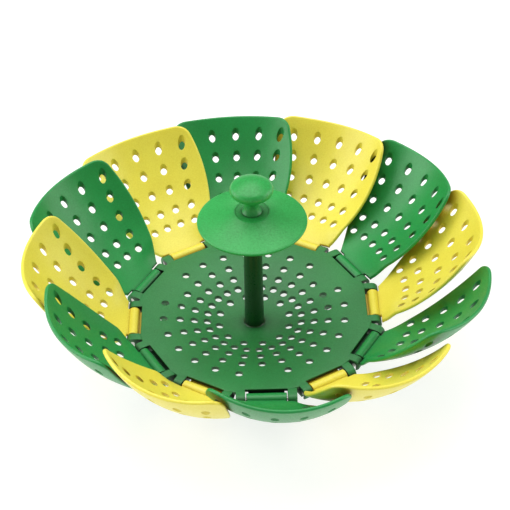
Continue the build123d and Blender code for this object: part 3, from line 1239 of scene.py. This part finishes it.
@dataclass
class BasePlate:
    """The dished plate with its holes, hinge lugs, legs and boss.

    Attributes:
        height: Height of the plate's rim.
        dish_angle: Slope of the dish between its two bends, in degrees.
        rim_bend: Radius of the bend at the rim.
        floor_bend: Radius of the bend at the floor.
        inner_ring_share: Radius of the innermost ring of holes, as a share of the notches' distance.
        inner_turn_share: How far that ring is turned, as a share of the petals' pitch.
        outer_ring_shares: Radius of each other ring, as a share of the same distance.
        lug_reach: How far a lug's foot reaches in from the notch's wall.
        lug_foot, lug_back, lug_shoulder, lug_top: Corners of the lug's section, from the notch's
            wall and the pin's axis.
        pin_bore: Radius of the hole for the pin.
        pin_slot: Half the width of the slot through which the pin is pressed in.
        leg_reach: Distance from the post's axis to the leg's middle.
        first_leg: Which hinge the first leg stands under.
    """

    hinge: Hinge = field(default_factory=Hinge)
    height: float = 22.0
    thickness: float = 2.0
    radius: float = 59.5
    rim_round: float = 0.45
    lip_round: float = 0.15
    rim_spacing: float = 2.0
    rim_sides: int = 11
    dish_angle: float = 13.3
    rim_bend: float = 105.0
    floor_bend: float = 39.0
    floor_height: float = 15.0
    hole_radius: float = 1.95
    inner_ring_share: float = 0.318
    inner_turn_share: float = 0.25
    outer_ring_shares: tuple[float, ...] = (0.420, 0.535, 0.661, 0.807)
    lug_width: float = 4.5
    lug_reach: float = 5.0
    lug_excess: float = 0.02
    lug_foot: float = 1.0
    lug_back: float = 1.5
    lug_shoulder: Flat = (0.4, 2.8)
    lug_top: float = 1.2
    lug_round: float = 0.3
    lug_spacing: float = 1.2
    lug_points: int = 18
    bore_points: int = 20
    pin_bore: float = 1.02
    pin_slot: float = 0.85
    leg_count: int = 3
    first_leg: int = 2
    leg_reach: float = 46.7
    leg_shift: float = 6.2
    leg_width: float = 12.6
    leg_thickness: float = 4.5
    leg_top: float = 20.2
    leg_corner: float = 3.0
    leg_round: float = 0.5
    leg_spacing: float = 2.0
    boss_radius: float = 8.0
    boss_low: float = 6.0
    boss_high: float = 14.2
    boss_rounds: Flat = (0.3, 0.5)
    spigot_radius: float = 3.55

    def __post_init__(self) -> None:
        """Works out where the dish's bends end and the angle of the notches' middles."""
        self.tilt = math.radians(self.dish_angle)
        self.rim_end = self.hinge.wall - self.rim_bend * math.sin(self.tilt)
        self.rim_drop = self.rim_bend * (1 - math.cos(self.tilt))
        floor_rise = self.floor_bend * (1 - math.cos(self.tilt))
        slope = self.height - self.rim_drop - self.floor_height - floor_rise
        self.slope_end = self.rim_end - slope / math.tan(self.tilt)
        self.floor_end = self.slope_end - self.floor_bend * math.sin(self.tilt)
        self.middle_angle = math.degrees(math.atan2(self.hinge.shift, self.hinge.wall))

    def dish(self, radius: float) -> Flat:
        """Follows the dish's section.

        Args:
            radius: Distance from the post's axis.

        Returns:
            Height and slope of the plate's upper face there.
        """
        if radius >= self.hinge.wall:
            return self.height, 0.0
        if radius >= self.rim_end:
            run = self.hinge.wall - radius
            root = math.sqrt(self.rim_bend**2 - run**2)
            return self.height - self.rim_bend + root, run / root
        if radius >= self.slope_end:
            slope = math.tan(self.tilt)
            return self.height - self.rim_drop - (self.rim_end - radius) * slope, slope
        if radius >= self.floor_end:
            run = radius - self.floor_end
            root = math.sqrt(self.floor_bend**2 - run**2)
            return self.floor_height + self.floor_bend - root, run / root
        return self.floor_height, 0.0

    def place(self, x: float, y: float, depth: float) -> Vector:
        """Puts a place on the plate into the row frame.

        Args:
            x: Distance to the right of the post's axis.
            y: Distance behind it.
            depth: Depth square to the upper face.

        Returns:
            The place.
        """
        radius = math.hypot(x, y)
        height, slope = self.dish(radius)
        fall = -slope / max(radius, TINY)
        return Vector((x, y, height)) - Vector((fall * x, fall * y, 1.0)).normalized() * depth

    def outline(self) -> list[Flat]:
        """Draws the rim, notched at each hinge.

        Returns:
            The rim's points.
        """
        half = self.hinge.notch_width / 2
        low, high = self.hinge.shift - half, self.hinge.shift + half
        notch = [
            (math.sqrt(self.radius**2 - low**2), low),
            (self.hinge.wall, low),
            (self.hinge.wall, high),
            (math.sqrt(self.radius**2 - high**2), high),
        ]
        start = math.asin(high / self.radius)
        end = math.radians(PITCH_ANGLE) + math.asin(low / self.radius)
        angles = np.linspace(start, end, self.rim_sides + 1)[1:-1]
        arc = [(self.radius * math.cos(a), self.radius * math.sin(a)) for a in angles]
        points: list[Flat] = []
        for hinge in range(PETAL_COUNT):
            turn = math.radians(BACK_ANGLE + PITCH_ANGLE * hinge)
            cos, sin = math.cos(turn), math.sin(turn)
            points += [(x * cos - y * sin, x * sin + y * cos) for x, y in notch + arc]
        return dense(points, self.rim_spacing)

    def _drain_hole(self, share: float, turn: float) -> RoundHole:
        """Places a drain hole.

        Args:
            share: Distance from the post's axis, as a share of the notches' distance.
            turn: Degrees from the middle of the hinge at the back.

        Returns:
            The hole.
        """
        angle = math.radians(BACK_ANGLE + self.middle_angle + turn)
        reach = share * self.hinge.wall
        return RoundHole(reach * math.cos(angle), reach * math.sin(angle), self.hole_radius)

    def holes(self) -> list[RoundHole]:
        """Lays out the drain holes in five rings, with one left out over each leg.

        Returns:
            The spigot's hole and the drain holes.
        """
        found = [RoundHole(0.0, 0.0, self.spigot_radius)]
        for place in range(PETAL_COUNT):
            turn = PITCH_ANGLE * (place + self.inner_turn_share)
            found.append(self._drain_hole(self.inner_ring_share, turn))
        leg_pitch = 2 * PETAL_COUNT // self.leg_count
        for share in self.outer_ring_shares:
            for place in range(2 * PETAL_COUNT):
                over_leg = place % leg_pitch == 2 * self.first_leg
                if share != self.outer_ring_shares[-1] or not over_leg:
                    found.append(self._drain_hole(share, PITCH_ANGLE / 2 * place))
        return found

    def lug(self, maker: MeshMaker, turn: float, side: int) -> None:
        """Adds one ear of a hinge, with the keyhole that the pin is pressed into.

        Args:
            maker: The mesh to add to.
            turn: Degrees to turn it about the post.
            side: 1 or -1, for the ear on either side of the notch.
        """
        reach, bore, slot = self.hinge.barrel_radius + self.lug_excess, self.pin_bore, self.pin_slot
        mouth, throat = math.acos(slot / reach), math.acos(slot / bore)
        outer_angles = np.linspace(math.pi / 2, -mouth, self.lug_points)
        inner_angles = np.linspace(-throat, math.pi + throat, self.bore_points)
        outer = [(reach * math.cos(a), reach * math.sin(a)) for a in outer_angles]
        inner = [(bore * math.cos(a), bore * math.sin(a)) for a in inner_angles]
        wall = self.hinge.wall - self.hinge.axis_x
        under = [
            (-slot, -reach),
            (wall - self.lug_foot, -reach),
            (wall - self.lug_reach, self.lug_back),
            (wall - self.lug_shoulder[0], self.lug_shoulder[1]),
            (wall + self.lug_top, reach),
        ]
        # The points run clockwise up to here, and a sheet's outline runs the other way.
        section = list(reversed(outer + inner + under))
        middle = self.hinge.shift + side * (self.hinge.notch_width + self.lug_width) / 2
        start = middle - self.lug_width / 2
        spin = Matrix.Rotation(math.radians(turn), 3, "Z")

        def place(u: float, v: float, depth: float) -> Vector:
            """Puts the section across the hinge's axis."""
            return spin @ Vector((self.hinge.axis_x + u, start + depth, self.hinge.axis_z + v))

        spacing = self.lug_spacing
        outline = dense(section, spacing)
        Sheet(outline, place, self.lug_width, self.lug_round, spacing=spacing, steps=3).add_to(maker)

    def leg(self, maker: MeshMaker, number: int) -> None:
        """Adds one leg, a flat strip with round corners at the floor.

        Args:
            maker: The mesh to add to.
            number: Which leg it is, from 0.
        """
        half, top = self.leg_width / 2, self.leg_top
        strip = [(-half, 0.0), (half, 0.0), (half, top), (-half, top)]
        outline = dense(rounded(strip, [self.leg_corner, self.leg_corner, 0.0, 0.0]), self.leg_spacing)
        hinge = self.first_leg + PETAL_COUNT // self.leg_count * number
        spin = Matrix.Rotation(math.radians(BACK_ANGLE + PITCH_ANGLE * hinge), 3, "Z")
        front = self.leg_reach + self.leg_thickness / 2

        def place(u: float, v: float, depth: float) -> Vector:
            """Stands the strip square to the hinge above it."""
            return spin @ Vector((front - depth, self.leg_shift + u, v))

        Sheet(outline, place, self.leg_thickness, self.leg_round, steps=3).add_to(maker)

    def boss(self, maker: MeshMaker) -> None:
        """Adds the boss under the plate, round the post's spigot.

        Args:
            maker: The mesh to add to.
        """
        inner, outer, low, high = self.spigot_radius, self.boss_radius, self.boss_low, self.boss_high
        section = [(inner, low), (outer, low), (outer, high), (inner, high)]
        maker.turned(rounded(section, [*self.boss_rounds, 0.0, 0.0]), upright)

    def make(self) -> MeshMaker:
        """Makes the whole plate.

        Returns:
            The mesh of the plate, its lugs, legs and boss.
        """
        maker = MeshMaker()
        dished = Sheet(
            self.outline(),
            self.place,
            self.thickness,
            self.rim_round,
            self.holes(),
            lip_round=self.lip_round,
            steps=3,
        )
        dished.add_to(maker)
        for hinge in range(PETAL_COUNT):
            for side in (-1, 1):
                self.lug(maker, BACK_ANGLE + PITCH_ANGLE * hinge, side)
        for number in range(self.leg_count):
            self.leg(maker, number)
        self.boss(maker)
        return maker

    def dress(self, materials: Materials) -> None:
        """Builds the plate and dresses it."""
        piece = self.make().build("perforated_plate")
        finish_piece(piece, "base", ["base_plate"], Tint.PLATE_GREEN.value, materials)


@dataclass
class CentrePost:
    """The tapered post with a small fillet where it meets the plate.

    Attributes:
        foot: Height of the plate's floor.
        top: Height of the post's head.
        seat_sink: How far the shoulder goes into the plate's floor.
        head_round: Radius round the head.
        spigot_end: Height at which the spigot in the boss ends.
        rise_shares: First and last ring of the taper, as shares of its height.
    """

    foot: float = 15.0
    top: float = 83.7
    base_radius: float = 4.9
    top_radius: float = 4.4
    fillet: float = 0.6
    fillet_points: int = 7
    seat_sink: float = 0.02
    head_round: float = 0.3
    spigot_radius: float = 3.5
    spigot_end: float = 6.5
    rise_shares: Flat = (0.05, 0.97)
    rise_points: int = 12

    def make(self) -> MeshMaker:
        """Makes the post.

        Returns:
            The mesh.
        """
        skirt = [
            (self.base_radius + self.fillet * (1 - math.sin(a)), self.foot + self.fillet * (1 - math.cos(a)))
            for a in np.linspace(0.0, math.pi / 2, self.fillet_points)
        ]
        taper, low = self.top_radius - self.base_radius, self.foot + self.fillet
        height = self.top - self.foot - 2 * self.fillet
        rise = [
            (self.base_radius + taper * share, low + height * share)
            for share in np.linspace(*self.rise_shares, self.rise_points)
        ]
        # Only the first corner's rounding is kept of this section.
        section = [
            (self.top_radius, self.top),
            (0.0, self.top),
            (0.0, self.foot),
            (self.base_radius, self.foot),
        ]
        cap = rounded(section, [self.head_round, 0.0, 0.0, 0.0])[:-3]
        seat = self.foot - self.seat_sink
        spigot = [
            (0.0, self.spigot_end),
            (self.spigot_radius, self.spigot_end),
            (self.spigot_radius, seat),
            (skirt[0][0], seat),
        ]
        maker = MeshMaker()
        maker.turned(spigot + skirt + rise + cap + [(0.0, self.top)], upright)
        return maker

    def dress(self, materials: Materials) -> None:
        """Builds the post and dresses it."""
        piece = self.make().build("tapered_post")
        finish_piece(piece, "base", ["post"], Tint.SHADED_POST_GREEN.value, materials)


@dataclass
class GuardDisc:
    """The flared disc under the knob, with a shallow recess round the knob's collar.

    Attributes:
        floor: Height of the recess's floor.
        drop: How far the rim lies below the crown.
        sag: How far the flare's middle lies below a straight line.
        recess_steps: Points of the recess's wall, by the distance in from its edge and the height
            above its floor.
        brink: How far the wall's last point lies in from the edge, and below the crown.
    """

    floor: float = 85.3
    radius: float = 26.7
    drop: float = 5.3
    thickness: float = 1.6
    sag: float = 0.8
    recess_radius: float = 8.3
    recess_depth: float = 0.3
    recess_steps: tuple[Flat, ...] = ((0.55, 0.0), (0.25, 0.06))
    brink: float = 0.1
    hole_radius: float = 2.55
    flare_spacing: float = 0.9
    nose_points: int = 11
    sides: int = 160

    def make(self) -> MeshMaker:
        """Makes the disc.

        Returns:
            The mesh.
        """
        crown = self.floor + self.recess_depth
        rim = crown - self.drop
        middle = ((self.radius + self.recess_radius) / 2, (crown + rim) / 2 - self.sag)
        upper = self._flare((self.recess_radius, crown), middle, (self.radius, rim))
        lower = self._flare(
            (self.recess_radius, self.floor - self.thickness),
            (middle[0], middle[1] - self.thickness),
            (self.radius, rim - self.thickness),
        )
        edge = self.thickness / 2
        nose = [
            (self.radius - edge * (1 - math.cos(a)), rim - edge + edge * math.sin(a))
            for a in np.linspace(math.pi / 2, -math.pi / 2, self.nose_points)
        ]
        upper, lower = ([p for p in face if p[0] < self.radius - edge] for face in (upper, lower))
        bore = [(self.hole_radius, self.floor - self.thickness), (self.hole_radius, self.floor)]
        recess = [(self.recess_radius - inset, self.floor + rise) for inset, rise in self.recess_steps]
        recess.append((self.recess_radius - self.brink, crown - self.brink))
        maker = MeshMaker()
        maker.turned(bore + recess + upper + nose + lower[::-1], upright, self.sides)
        return maker

    def _flare(self, start: Flat, middle: Flat, end: Flat) -> list[Flat]:
        """Draws the disc's hollow curve through three points, without the last."""
        return arc_points(circle_through(start, middle, end), Vector(start), Vector(end), self.flare_spacing)

    def dress(self, materials: Materials) -> None:
        """Builds the disc and dresses it."""
        piece = self.make().build("flared_disc")
        finish_piece(piece, "base", ["guard_disc"], Tint.LIT_HANDLE_GREEN.value, materials)


@dataclass
class Knob:
    """The flattened ball on a waisted neck.

    Attributes:
        seat: Height of the recess that the collar lies in.
        middle: Height of the ball's widest ring.
        rim_radius: Radius of the bend round that ring.
        neck_top: Radius where the neck meets the ball.
        neck: Radius at the waist.
        collar: Radius at the seat.
        seat_gap: Gap between the collar and the disc.
        stem_end: Height at which the stem in the post ends.
    """

    seat: float = 85.3
    radius: float = 10.4
    half_height: float = 4.9
    middle: float = 98.4
    rim_radius: float = 3.0
    neck_top: float = 4.6
    neck: float = 3.5
    neck_spacing: float = 0.4
    collar: float = 5.1
    seat_gap: float = 0.02
    stem_radius: float = 2.5
    stem_end: float = 71.3
    over_points: int = 14
    rim_points: int = 22
    under_points: int = 8
    sides: int = 128

    def make(self) -> MeshMaker:
        """Makes the knob, in one piece with its stem.

        Returns:
            The mesh.
        """
        reach, rim = self.radius - self.rim_radius, self.rim_radius
        crown = (reach**2 + self.half_height**2 - rim**2) / (2 * (self.half_height - rim))
        crown_angle = math.asin(reach / (crown - rim))
        neck_angle = math.asin(self.neck_top / crown)
        top, bottom = self.middle + self.half_height, self.middle - self.half_height
        over = [
            (crown * math.sin(a), top - crown * (1 - math.cos(a)))
            for a in np.linspace(0, crown_angle, self.over_points)
        ]
        side = [
            (reach + rim * math.sin(a), self.middle + rim * math.cos(a))
            for a in np.linspace(crown_angle, math.pi - crown_angle, self.rim_points)[1:]
        ]
        under = [
            (crown * math.sin(a), bottom + crown * (1 - math.cos(a)))
            for a in np.linspace(crown_angle, neck_angle, self.under_points)[1:]
        ]
        start, end = under[-1], (self.collar, self.seat)
        waist = circle_through(start, (self.neck, (self.seat + start[1]) / 2), end)
        neck = arc_points(waist, Vector(start), Vector(end), self.neck_spacing)[1:]
        seat = self.seat + self.seat_gap
        stem = [
            (self.collar, seat),
            (self.stem_radius, seat),
            (self.stem_radius, self.stem_end),
            (0.0, self.stem_end),
        ]
        maker = MeshMaker()
        maker.turned(over + side + under + neck + stem, upright, self.sides)
        return maker

    def dress(self, materials: Materials) -> None:
        """Builds the knob and dresses it."""
        piece = self.make().build("waisted_knob")
        finish_piece(piece, "base", ["knob"], Tint.LIT_HANDLE_GREEN.value, materials)


@dataclass(frozen=True)
class PhotoCamera:
    """The photograph's camera: its distance, height, framing and slight tilt.

    Attributes:
        focal_pixels: Focal length in pixels of the photograph.
        frame_pixels: Width of the photograph.
        distance: From the point that it aims at.
        elevation: Degrees above the floor.
        roll: Degrees that the picture is tilted.
        turn: Degrees that the camera stands to the side.
        right: How far the aim lies to the right of the post's axis.
        up: How far it lies above that point in the picture.
        aim_height: Height of the point on the post's axis that right and up are measured from.
        sensor: Width of the film.
    """

    focal_pixels: float = 1547.8
    frame_pixels: float = 510.0
    distance: float = 783.4
    elevation: float = 39.196
    roll: float = -1.288
    turn: float = -0.289
    right: float = 1.008
    up: float = 28.04
    aim_height: float = 22.0
    sensor: float = 36.0

    def build(self) -> bpy.types.Object:
        """Makes the camera and makes it the scene's.

        Returns:
            The camera.
        """
        tilt, roll = math.radians(self.elevation), math.radians(self.roll)
        forward = Vector((0.0, math.cos(tilt), -math.sin(tilt)))
        right = Vector((1.0, 0.0, 0.0))
        up = right.cross(forward)
        eye = right * self.right + up * self.up - forward * self.distance
        across = right * math.cos(roll) + up * math.sin(roll)
        above = up * math.cos(roll) - right * math.sin(roll)
        pose = Matrix((across, above, -forward)).transposed().to_4x4()
        pose.translation = (eye + Vector((0.0, 0.0, self.aim_height))) * MM
        data = bpy.data.cameras.new("photo_camera")
        data.sensor_width = self.sensor
        data.lens = self.focal_pixels / self.frame_pixels * data.sensor_width
        camera = bpy.data.objects.new("photo_camera", data)
        camera.matrix_world = Matrix.Rotation(math.radians(self.turn), 4, "Z") @ pose
        bpy.context.scene.collection.objects.link(camera)
        bpy.context.scene.camera = camera
        return camera


@dataclass(frozen=True)
class SoftBox:
    """A large soft light, by its place, aim, size in metres and power in watts."""

    name: str
    spot: tuple[float, float, float]
    aim: tuple[float, float, float]
    size: tuple[float, float]
    power: float

    def build(self) -> None:
        """Hangs the light."""
        data = bpy.data.lights.new(self.name, "AREA")
        data.shape = "RECTANGLE"
        data.size, data.size_y = self.size
        data.energy = self.power
        light = bpy.data.objects.new(self.name, data)
        light.location = self.spot
        light.rotation_mode = "QUATERNION"
        light.rotation_quaternion = (Vector(self.aim) - Vector(self.spot)).to_track_quat("-Z", "Y")
        bpy.context.scene.collection.objects.link(light)


@dataclass(frozen=True)
class Studio:
    """Pale paper under large soft lights, with a dim surround."""

    surround: float = 0.25
    floor_size: float = 8.0
    lights: tuple[SoftBox, ...] = (
        SoftBox("top_light", spot=(-0.15, 0.25, 1.3), aim=(0.0, 0.0, 0.0), size=(1.5, 1.3), power=17.0),
        SoftBox("left_light", spot=(-1.2, 0.1, 0.5), aim=(0.0, 0.0, 0.05), size=(1.0, 0.95), power=10.0),
        SoftBox("right_light", spot=(1.2, 0.1, 0.5), aim=(0.0, 0.0, 0.05), size=(1.0, 0.95), power=8.0),
    )

    def build(self) -> None:
        """Lays the floor, hangs the lights and sets the surround."""
        half = self.floor_size / 2
        places = [(-half, -half, 0), (half, -half, 0), (half, half, 0), (-half, half, 0)]
        mesh = bpy.data.meshes.new("paper_floor")
        mesh.from_pydata(places, [], [(0, 1, 2, 3)])
        mesh.materials.append(StudioPaper().build())
        floor = bpy.data.objects.new("paper_floor", mesh)
        bpy.context.scene.collection.objects.link(floor)
        floor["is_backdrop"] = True
        for light in self.lights:
            light.build()
        world = bpy.data.worlds.new("studio")
        world.use_nodes = True
        tree = world.node_tree
        tree.nodes.clear()
        glow = add_node(tree, "ShaderNodeBackground", {"Color": WHITE, "Strength": self.surround})
        add_node(tree, "ShaderNodeOutputWorld", None, {"Surface": glow.outputs["Background"]})
        bpy.context.scene.world = world
        bpy.context.scene.view_settings.view_transform = "Standard"


def make_materials() -> Materials:
    """Builds every material of the basket.

    Returns:
        The materials by the record's slot.
    """
    # The plate, the post and the handle are one green plastic. Their colours differ as painted light and
    # shade: the handle is lighter, and the post is much darker for the shade under the disc.
    plate = MouldedPolypropylene(Tint.PLATE_GREEN, "#2d8745", "#25763a", roughness=0.45)
    post = MouldedPolypropylene(Tint.SHADED_POST_GREEN, "#0f4a22", "#0b3f1b", roughness=0.32)
    handle = MouldedPolypropylene(
        Tint.LIT_HANDLE_GREEN, "#2fab50", "#22923e", roughness=0.40, grain_mm=0.9, grain_depth_mm=0.06
    )
    green = MouldedPolypropylene(Tint.PETAL_GREEN, "#239849", "#1c873e", roughness=0.36)
    # The painted shade in the yellow's holes and gaps is drawn golden.
    yellow = MouldedPolypropylene(
        Tint.PETAL_YELLOW, "#f3e757", "#e9da49", roughness=0.36, bleed=0.2, painted_shade_colour="#bf9e20"
    )
    made = {plastic.tint.value: plastic.build() for plastic in (plate, post, handle, green, yellow)}
    made["steel"] = DrawnStainlessSteel().build()
    return made


def corners(box: tuple[Vector, Vector]) -> list[list[float]]:
    """Turns a box into plain lists of numbers."""
    return [list(corner) for corner in box]


def main() -> None:
    """Builds the studio and the basket, and works out both boxes' sizes."""
    logging.basicConfig(level=logging.INFO, format="%(message)s")
    cad_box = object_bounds()
    PhotoCamera().build()
    Studio().build()
    materials = make_materials()
    BasePlate().dress(materials)
    CentrePost().dress(materials)
    GuardDisc().dress(materials)
    Knob().dress(materials)
    Petal().dress_all(materials)
    dress_node("post_screw", "steel", materials)
    {"cad": corners(cad_box), "visual": corners(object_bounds())}


if __name__ == "__main__":
    main()
